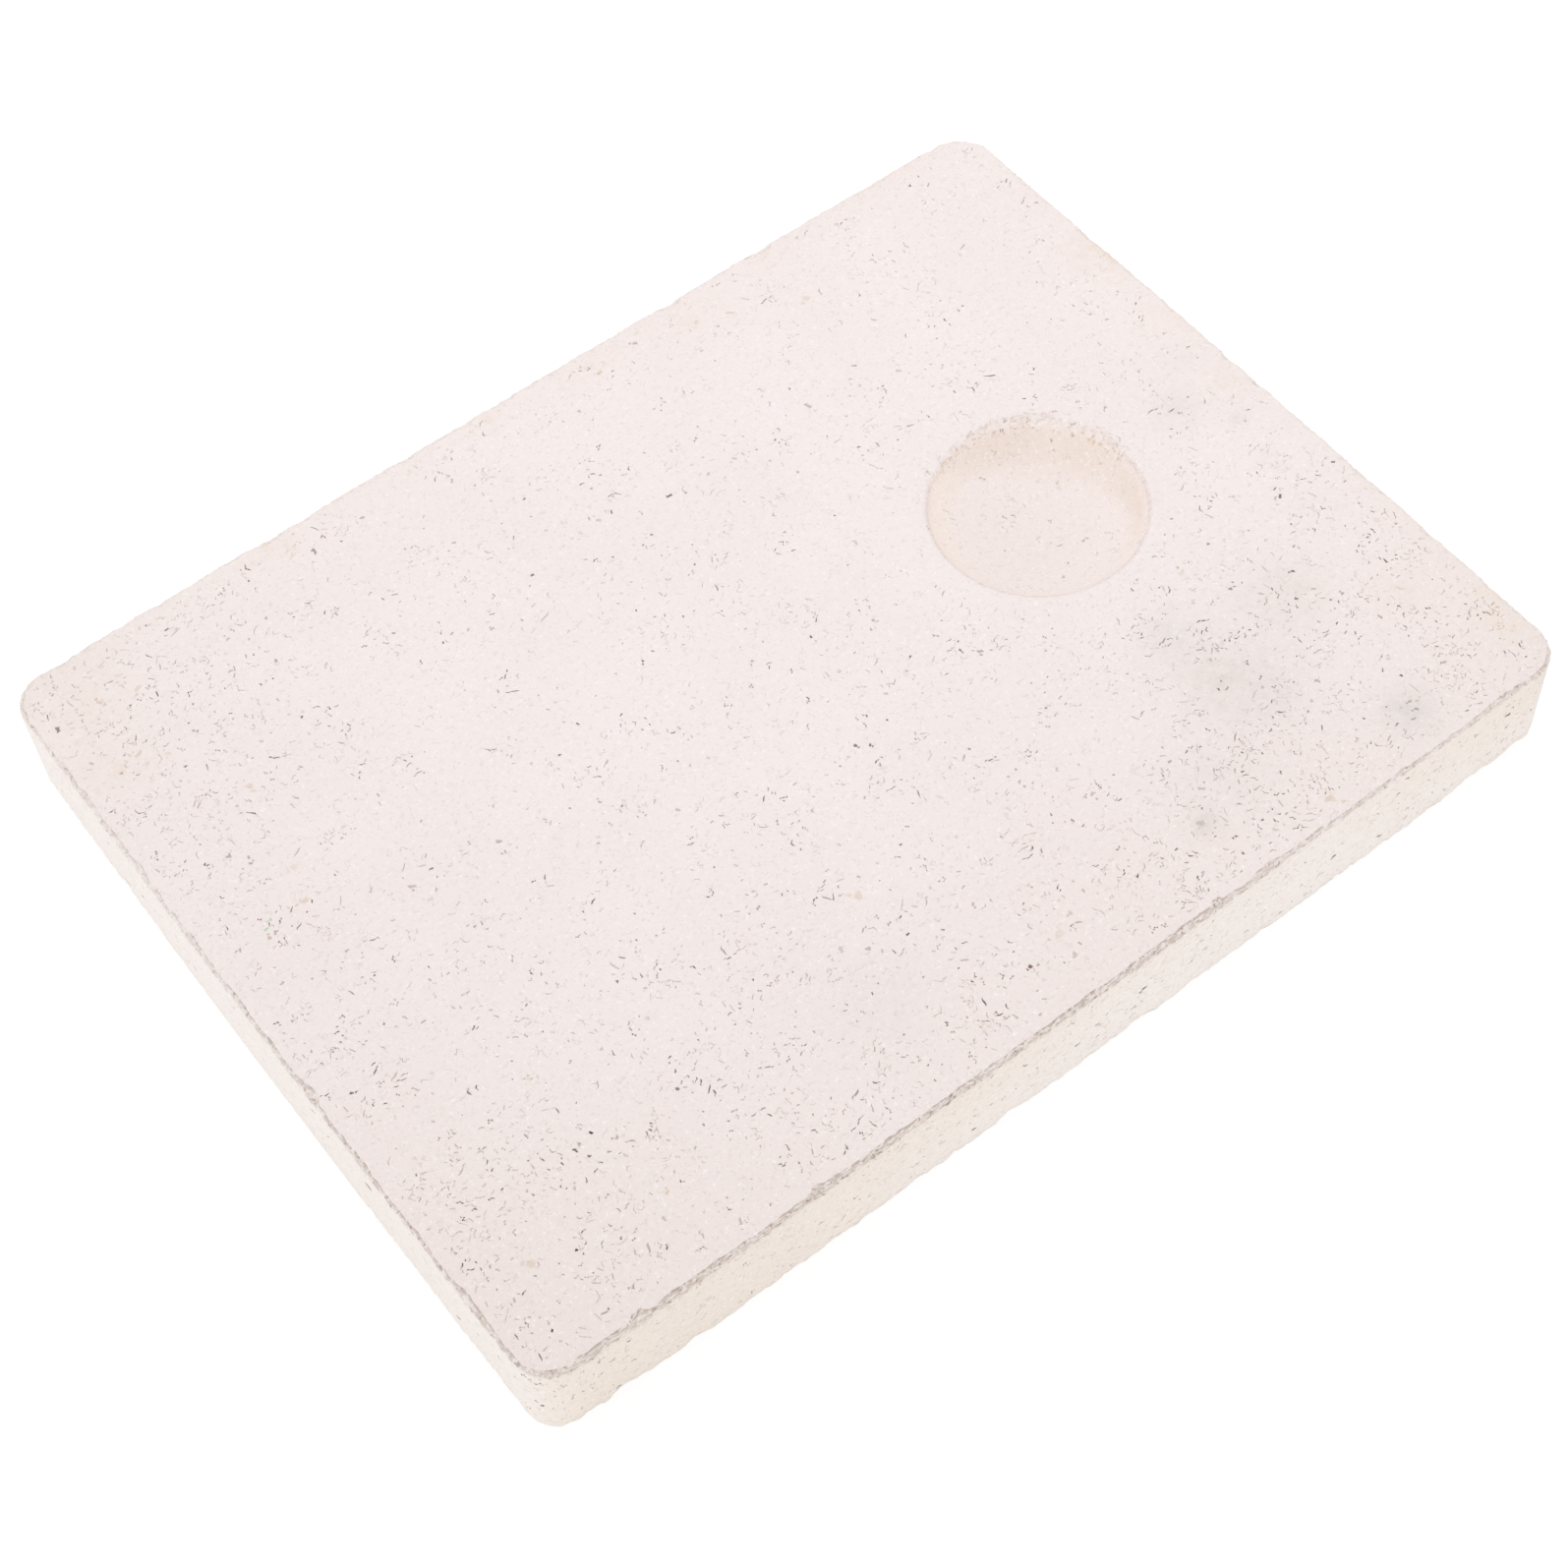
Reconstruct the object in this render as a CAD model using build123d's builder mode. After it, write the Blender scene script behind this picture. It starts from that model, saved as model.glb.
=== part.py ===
from build123d import *

import os
from math import radians, tan

# Quartz refractory soldering block: one pressed and fired slab with a melting dish.
# X runs along the length, Y across the width and Z up. The origin is the centre of
# the face that rests on the bench. All sizes are in millimetres.

# Slab
length = 125.0
width = 95.0
thickness = 12.5
corner_radius = 4.5  # upright corners, seen from above
top_edge_break = 0.6  # worn edge round the working face
base_edge_break = 0.9  # worn edge round the resting face, broken back further than the top

# Melting dish, sunk into the working face on the long centreline
dish_diameter = 23.0  # across the rim
dish_depth = 4.0  # working face to the lowest point of the floor
dish_wall_height = 1.6  # steep wall below the rim
dish_wall_angle = 60.0  # slope of that wall from the horizontal, in degrees
dish_blend_radius = 3.0  # where the wall runs out into the domed floor
dish_rim_break = 0.3  # worn lip of the dish
dish_end_distance = 29.0  # dish axis to the nearer short side

# Derived places
dish_x = length / 2 - dish_end_distance
rim_radius = dish_diameter / 2
wall_foot_radius = rim_radius - dish_wall_height / tan(radians(dish_wall_angle))

# The dish's profile plane stands on the working face, with its own Y axis along +Z.
dish_plane = Plane(origin=(dish_x, 0, thickness), x_dir=(1, 0, 0), z_dir=(0, -1, 0))

with BuildPart() as soldering_block:
    # The slab, with its upright corners rounded
    with BuildSketch():
        RectangleRounded(length, width, corner_radius)
    extrude(amount=thickness)

    # The dish: half of its section, turned about the dish axis
    with BuildSketch(dish_plane):
        with BuildLine():
            floor = TangentArc(
                (0, -dish_depth), (wall_foot_radius, -dish_wall_height), tangent=(1, 0)
            )
            wall = Line(floor @ 1, (rim_radius, 0))
            Polyline(wall @ 1, (0, 0), floor @ 0)
        make_face()
        wall_foot = vertices().sort_by_distance((wall_foot_radius, -dish_wall_height))[0]
        fillet(wall_foot, radius=dish_blend_radius)
    revolve(axis=Axis((dish_x, 0, 0), (0, 0, 1)), mode=Mode.SUBTRACT)

    # Worn edges: the slab's top outline, the dish's rim and the base's outline
    working_face = faces().filter_by(Axis.Z).sort_by(Axis.Z)[-1]
    resting_face = faces().filter_by(Axis.Z).sort_by(Axis.Z)[0]
    top_outline = working_face.outer_wire().edges()
    dish_rim = working_face.inner_wires()[0].edges()
    chamfer(top_outline, length=top_edge_break)
    chamfer(dish_rim, length=dish_rim_break)
    chamfer(resting_face.edges(), length=base_edge_break)

soldering_block.part.label = "soldering_block"

os.makedirs("parts", exist_ok=True)
export_step(soldering_block.part, "parts/soldering_block.step")
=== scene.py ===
import math
import random

import bpy
import numpy as np
from mathutils import Matrix, Vector, geometry, noise


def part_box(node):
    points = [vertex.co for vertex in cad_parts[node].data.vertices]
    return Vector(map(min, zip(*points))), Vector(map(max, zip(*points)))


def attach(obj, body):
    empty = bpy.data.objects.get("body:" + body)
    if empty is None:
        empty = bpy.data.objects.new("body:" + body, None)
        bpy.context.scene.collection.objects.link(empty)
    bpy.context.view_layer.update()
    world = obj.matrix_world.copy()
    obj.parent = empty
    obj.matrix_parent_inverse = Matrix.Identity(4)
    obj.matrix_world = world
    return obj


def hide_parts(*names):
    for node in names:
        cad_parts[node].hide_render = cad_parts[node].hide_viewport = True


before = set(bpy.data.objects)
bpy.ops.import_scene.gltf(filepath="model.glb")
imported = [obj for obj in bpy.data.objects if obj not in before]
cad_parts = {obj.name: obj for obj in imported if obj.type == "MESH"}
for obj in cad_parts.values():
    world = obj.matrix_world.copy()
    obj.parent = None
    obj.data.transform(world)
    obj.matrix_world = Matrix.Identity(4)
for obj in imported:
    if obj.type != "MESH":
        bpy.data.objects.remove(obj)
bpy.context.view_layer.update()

MM = 0.001

# The block, in millimetres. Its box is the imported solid's, and its corners and edges repeat the solid's.
low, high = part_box("soldering_block")
half_length = (high[0] - low[0]) / 2 / MM
half_width = (high[1] - low[1]) / 2 / MM
thickness = (high[2] - low[2]) / MM
corner_radius = 4.5
edge_wear = 0.6
base_wear = 0.9
side_bow = 0.28  # how far the sides bow out towards their middles

# The melting dish
dish_centre = np.array([33.5, 0.0])
dish_radius = 11.5
dish_depth = 4.0
dish_wall_height = 1.6
dish_wall_slope = math.tan(math.radians(60))
dish_blend = 0.55  # softens the turn from wall to floor
dish_lip = 0.22  # rounds the rim
foot_radius = dish_radius - dish_wall_height / dish_wall_slope
floor_sag = dish_depth - dish_wall_height
floor_radius = (foot_radius**2 + floor_sag**2) / (2 * floor_sag)

# The far rim of the dish has crumbled away between these bearings from +X, back to a rough shelf.
crumble_from = math.radians(-14)
crumble_to = math.radians(124)
shelf_reach = 0.65
shelf_bearing = math.radians(48)
shelf_drop = 0.24

# Bearings at which the dish's wall is yellowest, its yellow partly painted shade and bounce light, and
# palest, where painted light lifts the wall
yellow_shade_bearing = math.radians(38)
lit_wall_bearing = math.radians(148)

# How far from the outline each worn edge is looked for, and the rows of points laid across it
top_edge_reach = 4.0
base_edge_reach = 3.0
edge_step = 0.36
top_rows = (-0.45, 0, 0.09, 0.25, 0.42, 0.58, 0.74, 0.9, 1, 1.5)
base_rows = (-1.2, 0, 0.35, 0.7)
near_corner = (-61.2, -46.2)

# Rings of points about the rim of the dish, and the loose points between the marks
rim_rings = (8.8, 9.4, 9.9, 10.35, 10.7, 11.0, 11.2, 11.4, 11.6, 11.8, 12.05, 12.35, 12.7, 13.2)
crumbled_points = 1800
face_spacing = 1.35
side_spacing = 1.0
base_spacing = 6.0
base_lift = 0.012

# How many marks of each kind the fired body carries
crumb_tries = 220
grain_count = 40
slit_count = 3700
pit_count = 1100
side_mark_count = 1700
mark_seed = 41

# Chips on the edge round the working face: place along the outline, length and depth
top_chips = [
    (-55.9, 47.5, 1.5, 0.30),
    (-44.0, 47.5, 1.0, 0.22),
    (-30.5, 47.5, 2.2, 0.42),
    (-26.5, 47.5, 1.2, 0.25),
    (-13.8, 47.5, 1.2, 0.28),
    (-6.1, 47.5, 1.4, 0.34),
    (-2.6, 47.5, 1.0, 0.36),
    (20.6, 47.5, 1.8, 0.42),
    (33.2, 47.5, 1.4, 0.32),
    (57.4, 47.5, 1.0, 0.20),
    (62.5, -27.5, 1.2, 0.20),
    (62.5, -17.7, 1.6, 0.26),
    (62.5, -1.7, 1.4, 0.34),
    (62.5, 2.8, 1.2, 0.32),
    (62.5, 25.3, 2.4, 0.30),
    (-51.0, -47.5, 1.2, 0.50),
    (-31.3, -47.5, 0.9, 0.40),
    (16.2, -47.5, 0.9, 0.45),
    (22.4, -47.5, 2.2, 0.28),
    (52.5, -47.5, 2.4, 0.24),
    (-62.5, 31.0, 1.4, 0.22),
    (-62.5, -10.6, 1.6, 0.45),
    (-62.5, -38.0, 4.5, 0.20),
]

# Chips on the edge that lies on the bench
base_chips = [
    (-53.5, -47.5, 2.2, 0.55),
    (-57.6, -46.9, 1.6, 0.50),
    (-46.0, -47.5, 1.6, 0.32),
    (-35.3, -47.5, 1.8, 0.34),
    (-20.6, -47.5, 1.6, 0.38),
    (-9.0, -47.5, 1.8, 0.26),
    (6.5, -47.5, 1.4, 0.34),
    (13.7, -47.5, 1.2, 0.30),
    (22.9, -47.5, 1.4, 0.26),
    (51.0, -47.5, 3.0, 0.40),
    (57.5, -47.0, 2.0, 0.55),
    (-62.5, -41.5, 2.0, 0.40),
    (-62.5, -18.6, 1.4, 0.24),
    (-62.5, 27.0, 2.2, 0.26),
]


def lumps(points, size, layer):
    """Smooth noise from -1 to 1 with lumps of this size in millimetres. Each layer is a new pattern."""
    flat = points[:, :2] / size
    if points.shape[1] == 3:
        depth = points[:, 2] / size + layer
    else:
        depth = np.full(len(points), layer)
    return np.array([noise.noise((x, y, z)) for x, y, z in zip(flat[:, 0], flat[:, 1], depth)])


def ramp(values, start, end):
    """0 before start, 1 past end, and an even curve between."""
    t = np.clip((values - start) / (end - start), 0, 1)
    return t * t * (3 - 2 * t)


def outline_of(points):
    """How far flat points lie outside the block's outline, and the way out from it."""
    side = np.where(points < 0, -1.0, 1.0)
    core = np.array([half_length - corner_radius, half_width - corner_radius])
    over = np.abs(points) - core
    at_corner = (over > 0).all(axis=1)
    reach = np.hypot(over[:, 0], over[:, 1])
    by_end = over[:, 0] > over[:, 1]
    square = np.stack([by_end, ~by_end], axis=1).astype(float)
    rounded = over / np.maximum(reach, 1e-9)[:, None]
    way = np.where(at_corner[:, None], rounded, square) * side
    out = np.where(at_corner, reach, over.max(axis=1)) - corner_radius
    return out, way


def how_far_out(x, y):
    """How far one flat place lies outside the block's outline."""
    return outline_of(np.array([[x, y]]))[0][0]


def by_dish(r, bearing):
    """The flat place at a radius and a bearing from the dish's axis."""
    return dish_centre + r * np.array([math.cos(bearing), math.sin(bearing)])


def chipping(foot, chips):
    """The depth that the chips take from the edge at points of the outline."""
    taken = np.zeros(len(foot))
    for x, y, length, depth in chips:
        away = np.hypot(foot[:, 0] - x, foot[:, 1] - y) / length
        taken += depth * np.exp(-((away * 1.4) ** 4))
    return taken


def edges_of(foot):
    """How far points of the outline belong to the front, the left, the back and the right edge."""
    front = ramp(-foot[:, 1], half_width - 4, half_width - 1)
    left = ramp(-foot[:, 0], half_length - 4, half_length - 1)
    back = ramp(foot[:, 1], half_width - 4, half_width - 1)
    right = ramp(foot[:, 0], half_length - 4, half_length - 1)
    return front, left, back, right


def top_break(foot):
    """Width of the worn edge on the working face and on the side, at points of the outline."""
    front, left, back, right = edges_of(foot)
    to_right = ramp(foot[:, 0], 5, 35)
    wander = 0.18 * lumps(foot, 4.0, 1.5) + 0.16 * lumps(foot, 1.5, 2.5) + 0.16 * lumps(foot, 0.8, 3.5)
    chipped = chipping(foot, top_chips)
    worn = edge_wear + front * (0.17 * ramp(foot[:, 0], -40, 30) - 0.20) + 0.10 * back - 0.06 * right
    worn = np.maximum(worn + wander * (1 - 0.15 * front), 0.15) + chipped
    down = edge_wear - 0.32 * left + front * (0.85 - 0.3 * ramp(foot[:, 0], -50, 0) - 0.7 * to_right)
    down = down + 0.18 * lumps(foot, 2.2, 4.5) + 0.14 * lumps(foot, 0.7, 40.5)
    return worn, np.maximum(down, 0.12) + 0.6 * chipped


def base_break(foot):
    """Width of the worn edge round the resting face: most by the corners, but not at the near one."""
    front, left, back, right = edges_of(foot)
    long_side, short_side = np.maximum(front, back), np.maximum(left, right)
    by_end = long_side * ramp(np.abs(foot[:, 0]), half_length - 21, half_length - 6)
    by_side = short_side * ramp(np.abs(foot[:, 1]), half_width - 39, half_width - 11)
    from_corner = np.hypot(foot[:, 0] - near_corner[0], foot[:, 1] - near_corner[1])
    tip = np.exp(-((from_corner / 2.4) ** 2))
    worn = base_wear - 0.32 * long_side - 0.95 * short_side + (0.28 * by_end + 0.9 * by_side) * (1 - tip)
    rough = 0.18 * lumps(foot, 3.2, 5.5) + 0.25 * lumps(foot, 1.4, 6.5) + 0.32 * lumps(foot, 0.8, 7.5)
    return np.maximum(worn + rough * (1 + 0.4 * left), 0.1) + chipping(foot, base_chips)


def edge_dirt_and_shade(foot):
    """How dirty the worn edge is, and how strong the painted shade line along its brink: most along the
    front, less to its right and on the left side.
    """
    front, left, _, _ = edges_of(foot)
    on_front = 1 - 0.35 * ramp(foot[:, 0], 0, 40)
    on_left = 0.8 - 0.35 * ramp(foot[:, 1], -20, 15)
    return np.maximum(0.22, np.maximum(front * on_front, left * on_left))


def cream_tint(foot, way, drop):
    """How creamy the sides are: most at the front's left end and high up, hardly along the left. Elsewhere
    the sides take their white, which is lifted with painted light.
    """
    front = np.maximum(-way[:, 1], 0) ** 2
    left = np.maximum(-way[:, 0], 0) ** 2
    on_front = 1.0 - 0.70 * ramp(foot[:, 0], -58, 20) + 0.20 * ramp(foot[:, 0], 28, 45)
    on_front = on_front + 0.32 * ramp(foot[:, 0], 46, 60)
    lighter = 1.25 - 0.75 * ramp(drop, 2, 10)
    on_front = on_front * (1 + (lighter - 1) * ramp(foot[:, 0], -40, -10))
    on_left = 0.22 * (1 - ramp(foot[:, 1], -30, 12))
    return front * on_front + on_left * left + 0.5 * (1 - front - left)


def dish_at(points):
    """How far the dish lies below the working face, and masks for its wall, rim and broken edge."""
    from_axis = points - dish_centre
    r = np.hypot(from_axis[:, 0], from_axis[:, 1])
    bearing = np.arctan2(from_axis[:, 1], from_axis[:, 0])
    broken = ramp(bearing, crumble_from, crumble_from + 0.4)
    broken = broken * (1 - ramp(bearing, crumble_to - 0.4, crumble_to))

    # The turned section: a domed floor that runs into a steep wall with a worn lip
    floor = dish_depth - floor_radius + np.sqrt(np.maximum(floor_radius**2 - r**2, 0))
    ragged = 0.08 * lumps(points, 1.1, 8.5) + 0.05 * lumps(points, 0.5, 9.5)
    wall = (dish_radius - r + ragged * (0.25 + broken)) * dish_wall_slope
    near = np.clip(0.5 + (wall - floor) / (2 * dish_blend), 0, 1)
    depth = wall * (1 - near) + floor * near - dish_blend * near * (1 - near)
    depth = (depth + np.sqrt(depth**2 + dish_lip**2)) / 2
    depth = depth * (1 - ramp(r, dish_radius + 1.2, dish_radius + 2.2))

    # The shelf that the crumbled rim has left, widest at the back right, with a ragged border
    widest = np.exp(-(((bearing - shelf_bearing) / 0.55) ** 2))
    border = 0.45 * lumps(points, 2.4, 10.5) + 0.35 * lumps(points, 1.0, 11.5)
    border = dish_radius + broken * (shelf_reach * (0.35 + widest) + border)
    shelf = broken * ramp(border - r, -0.06, 0.12)
    grit = shelf_drop + 0.20 * lumps(points, 1.1, 12.5) + 0.14 * lumps(points, 0.5, 13.0)
    depth = np.maximum(depth, shelf * np.maximum(grit, 0.03))
    depth = np.where(r < dish_radius + 2.5, depth, 0.0)

    # Masks: the whole dish, lifted a little with painted light; the yellow wall, most at the back right,
    # partly its own tint and partly painted shade and bounce light; the pale wall, lifted with painted
    # light; the broken rim; and the sound rim's line, painted shade with some dirt in the crumbled step
    back = np.cos(bearing - yellow_shade_bearing)
    start = 8.8 - 4.4 * np.maximum(back, 0) ** 2
    full = 10.5 - 0.4 * np.maximum(back, 0) ** 2
    cloud = np.clip(0.9 + 0.4 * lumps(points, 4.0, 23.5), 0, 1) * (1 - 0.75 * ramp(-back, -0.3, 0.5))
    patchy = np.clip(0.75 + 0.9 * lumps(points, 1.7, 24.5), 0, 1)
    leftward = ramp(np.cos(bearing - lit_wall_bearing), 0.5, 0.97)
    masks = {
        "bowl": 1 - ramp(r, dish_radius - 0.6, dish_radius),
        "pale_wall_lit": ramp(r, 8.2, 10.2) * (1 - ramp(r, dish_radius - 0.3, dish_radius)) * leftward,
        "yellowed_and_shaded": ramp(r, start, full) * (1 - ramp(r, dish_radius - 0.9, dish_radius)) * cloud,
        "crumble": shelf * ramp(r, dish_radius - 1.0, dish_radius - 0.2) * patchy,
        # The rim's line: painted shade in the crease of the sound rim and along the crumbled step, with
        # some dirt in the step
        "rim": np.maximum(
            (1 - 0.8 * broken) * np.exp(-(((r - dish_radius + 0.05) / 0.2) ** 2)),
            0.6 * broken * patchy * np.exp(-(((r - border) / 0.18) ** 2)),
        ),
    }
    return depth, masks


# Scorch marks that soldering has left on the working face: place, reach, strength
scorches = [
    (34.0, -29.0, 6.0, 0.60),
    (33.0, -21.0, 5.0, 0.45),
    (45.3, -42.3, 3.2, 0.90),
    (45.0, -24.5, 6.0, 0.40),
    (25.5, -37.0, 6.0, 0.34),
    (21.0, -39.7, 1.6, 0.80),
    (36.0, -33.0, 5.0, 0.28),
    (53.3, 1.0, 3.0, 0.40),
    (57.4, -4.4, 2.0, 0.30),
    (57.5, 5.8, 2.4, 0.30),
    (56.2, -10.5, 2.0, 0.25),
    (-15.5, -35.0, 7.0, 0.22),
    (12.8, 4.5, 4.0, 0.14),
]


def scorching(places):
    """How scorched the working face is, in ragged clouds about each mark."""
    total = np.zeros(len(places))
    wobble = 0.6 * lumps(places[:, :2], 4.0, 30.5) + 0.4 * lumps(places[:, :2], 1.6, 31.5)
    for x, y, reach, strength in scorches:
        away = np.hypot(places[:, 0] - x, places[:, 1] - y) / reach * (1 + 0.35 * wobble)
        total += strength * np.exp(-1.6 * away**2) * np.clip(1 + 0.7 * wobble, 0, 2)
    return np.clip(total, 0, 1)


# Tan stains on the working face: place, reach, strength
stains = [
    (-57.0, 40.0, 7.0, 0.35),
    (-58.0, 31.0, 4.0, 0.25),
    (60.0, -40.0, 4.5, 0.55),
    (55.0, -30.0, 5.0, 0.30),
    (60.5, 22.5, 4.0, 0.70),
    (59.5, 11.0, 4.0, 0.35),
    (58.0, 0.0, 3.5, 0.35),
    (-4.5, 45.5, 2.5, 0.40),
    (-31.0, 45.5, 3.0, 0.40),
    (53.0, 1.0, 3.5, 0.25),
    (47.0, -25.0, 4.0, 0.25),
    (33.0, -27.5, 4.0, 0.25),
    (10.0, 44.0, 3.0, 0.25),
    (22.0, 42.5, 3.5, 0.35),
    (21.0, -41.0, 2.5, 0.35),
]


def staining(places):
    """How tan the working face is, along its far edges and in ragged patches about each stain."""
    far_edge = np.maximum(ramp(places[:, 1], 43, 46), ramp(places[:, 0], 58, 61))
    total = 0.2 * far_edge
    wobble = 0.7 * lumps(places[:, :2], 2.6, 33.5) + 0.5 * lumps(places[:, :2], 1.1, 34.5)
    for x, y, reach, strength in stains:
        away = np.hypot(places[:, 0] - x, places[:, 1] - y) / reach
        total += strength * np.exp(-1.6 * away**2) * np.clip(1 + 1.2 * wobble, 0, 2)
    return np.clip(total, 0, 1)


def handling_and_falloff(places):
    """How dull the working face is with handling and how much painted light falloff darkens it: most along
    the front and at the left end.
    """
    left = ramp(-places[:, 0], 25, 60)
    front = ramp(-places[:, 1], 10, 45)
    cleaner = np.exp(-(((places[:, 1] - 18) / 14) ** 2))
    return 0.38 * left * (1 - 0.65 * cleaner) + 0.48 * front


def lay_skin(points):
    """Folds flat points over the block: inside the outline they lie on the working face, and
    outside it they run down the side to the resting face. Returns places and wear masks."""
    out, way = outline_of(points)
    foot = points - way * out[:, None]
    inset = np.maximum(-out, 0)
    drop = np.maximum(out, 0)
    up = np.where(out < 0, 1.0, 0.0)
    worn = np.zeros(len(points))

    # The worn edge between the working face and the side
    close = np.abs(out) < top_edge_reach
    top_width, side_width = np.ones(len(points)), np.ones(len(points))
    top_width[close], side_width[close] = top_break(foot[close])
    across = (out + top_width) / (top_width + side_width)
    edge = close & (across > 0) & (across < 1)
    swell = (0.10 + 0.12 * lumps(foot[edge], 1.8, 13.5)) * 4 * across[edge] * (1 - across[edge])
    inset[edge] = top_width[edge] * (1 - across[edge] - swell)
    drop[edge] = side_width[edge] * (across[edge] - swell)
    up[edge] = 1 - across[edge]
    worn[close] = ramp(across[close], 0.0, 0.09) * (1 - ramp(across[close], 0.9, 1.02))
    worn[close] *= edge_dirt_and_shade(foot[close])
    # A dark line along the brink of the face: part crack, part painted shade.
    brink = np.zeros(len(points))
    brink[close] = ramp(across[close], 0.0, 0.09) * (1 - ramp(across[close], 0.12, 0.34))
    brink[close] *= edge_dirt_and_shade(foot[close])

    # The worn edge between the side and the resting face
    low_edge = out > thickness - base_edge_reach
    base_width = np.ones(len(points))
    base_width[low_edge] = base_break(foot[low_edge])
    under = (out - thickness + base_width) / base_width
    turned = low_edge & (under > 0)
    swell = 0.1 * 4 * under[turned] * (1 - np.minimum(under[turned], 1))
    inset[turned] = base_width[turned] * (under[turned] - swell)
    drop[turned] = thickness - base_width[turned] * (1 - under[turned] - swell)
    # How much darker and browner the side gets towards the edge on the bench.
    base_edge_dark = np.zeros(len(points))
    base_edge_dark[low_edge] = ramp(under[low_edge], -0.8, 0.1)

    places = np.empty((len(points), 3))
    places[:, :2] = np.where((out <= -top_edge_reach)[:, None], points, foot - way * inset[:, None])
    places[:, 2] = thickness - drop

    # The dish, then the unevenness of the fired faces, which only ever goes inwards
    depth, masks = dish_at(points)
    places[:, 2] -= depth
    uneven = 0.012 * (1 + lumps(places, 9.0, 14.5)) + 0.008 * (1 + lumps(places, 2.4, 15.5))
    uneven += 0.03 * (1 - up) * (1 + lumps(places, 5.0, 16.5))
    gritty = 0.5 * (1 + lumps(places, 0.55, 17.5)) + 0.5 * (1 + lumps(places, 0.3, 18.5))
    uneven += 0.11 * gritty * edge + 0.05 * gritty * turned
    uneven[out >= thickness - 1e-6] = 0
    places[:, 2] -= uneven * up
    places[:, :2] -= way * (uneven * (1 - up))[:, None]

    # The sides bow out a little towards their middles
    reach = places[:, :2] / np.array([half_length, half_width])
    places[:, 0] -= side_bow * reach[:, 1] ** 2 * reach[:, 0] ** 11
    places[:, 1] -= side_bow * reach[:, 0] ** 4 * reach[:, 1] ** 11
    side = np.where(close, ramp(across, 0.35, 1.0), (out > 0).astype(float))
    masks["worn"] = worn
    masks["brink"] = brink
    masks["side"] = side
    masks["base_edge_dark"] = base_edge_dark
    masks["cream"] = cream_tint(foot, way, drop)
    masks["end"] = way[:, 0] ** 2
    masks["dull"] = (1 - side) * handling_and_falloff(places)
    masks["density"] = np.where(out > 0, 0.4, pore_weight(points))
    masks["scorch"] = (1 - side) * scorching(places)
    masks["stain"] = (1 - side) * staining(places)
    return places, masks


# The kinds of mark on the fired body
mark_kinds = ("pore", "grain", "pale", "rust", "green")


class FlatSheet:
    """Flat points and the lines that the triangles must keep, with marks at each point."""

    def __init__(self):
        self.points = []
        self.lines = []
        self.marks = {name: [] for name in (*mark_kinds, "tone", "hollow")}
        self.taken = {}

    def add(self, point, **marks):
        self.points.append((float(point[0]), float(point[1])))
        for name, values in self.marks.items():
            values.append(marks.get(name, 0.0))

    def loop(self, points, keep=True, **marks):
        first, count = len(self.points), len(points)
        for point in points:
            self.add(point, **marks)
        if keep:
            self.lines += [(first + i, first + (i + 1) % count) for i in range(count)]
        return list(range(first, first + count))

    def has_room(self, x, y, radius):
        for i in range(int(x // 2) - 1, int(x // 2) + 2):
            for j in range(int(y // 2) - 1, int(y // 2) + 2):
                for other_x, other_y, other_radius in self.taken.get((i, j), ()):
                    if math.hypot(x - other_x, y - other_y) < radius + other_radius + 0.08:
                        return False
        return True

    def add_loose(self, point, radius):
        """A plain point, where no mark lies within the radius."""
        if self.has_room(point[0], point[1], radius):
            self.add(point)

    def spot(self, x, y, length, width, turn, bend, tone, hollow, kind, rng):
        """A pore or a grain: an uneven outline on the surface round a spine that lies below it."""
        self.taken.setdefault((int(x // 2), int(y // 2)), []).append((x, y, 0.42 * length))
        stations = 3 if length > 0.62 else 2
        ways = [-1 + 2 * (i + 1) / (stations + 1) for i in range(stations)]
        taper = rng.uniform(-0.6, 0.6)
        kinks = [rng.gauss(0, 0.45) * width for _ in ways]

        def at(along, across):
            u = along * length / 2
            v = across + bend * length * (along * along - 0.4)
            return (
                x + u * math.cos(turn) - v * math.sin(turn),
                y + u * math.sin(turn) + v * math.cos(turn),
            )

        round_half = [width / 2 * math.sqrt(1 - t * t) * (1 + taper * t) for t in ways]
        half = [h * rng.uniform(0.75, 1.25) for h in round_half]
        stops = list(zip(ways, kinks, half))
        ring = [at(-1, 0)] + [at(t, k - h) for t, k, h in stops] + [at(1, 0)]
        ring += [at(t, k + h * rng.uniform(0.8, 1.2)) for t, k, h in reversed(stops)]
        self.loop(ring, tone=tone)
        for t, k, _ in stops:
            self.add(at(t, k), tone=tone, hollow=hollow, **{kind: 1.0})


def outline_points(step):
    """Points along the block's outline, an even step apart, with the way out at each."""
    core = (half_length - corner_radius, half_width - corner_radius)
    found = []
    corners = [(1, -1, -90), (1, 1, 0), (-1, 1, 90), (-1, -1, 180)]
    for k, (side_x, side_y, start) in enumerate(corners):
        centre = np.array([side_x * core[0], side_y * core[1]])
        turns = max(2, round(math.radians(90) * corner_radius / step))
        for i in range(turns):
            bearing = math.radians(start + 90 * i / turns)
            way = np.array([math.cos(bearing), math.sin(bearing)])
            found.append((centre + corner_radius * way, way))
        after = corners[(k + 1) % 4]
        way = np.array([math.cos(math.radians(start + 90)), math.sin(math.radians(start + 90))])
        begin = centre + corner_radius * way
        end = np.array([after[0] * core[0], after[1] * core[1]]) + corner_radius * way
        runs = round(np.linalg.norm(end - begin) / step)
        found += [(begin + (end - begin) * i / runs, way) for i in range(runs)]
    return np.array([f[0] for f in found]), np.array([f[1] for f in found])


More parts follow.
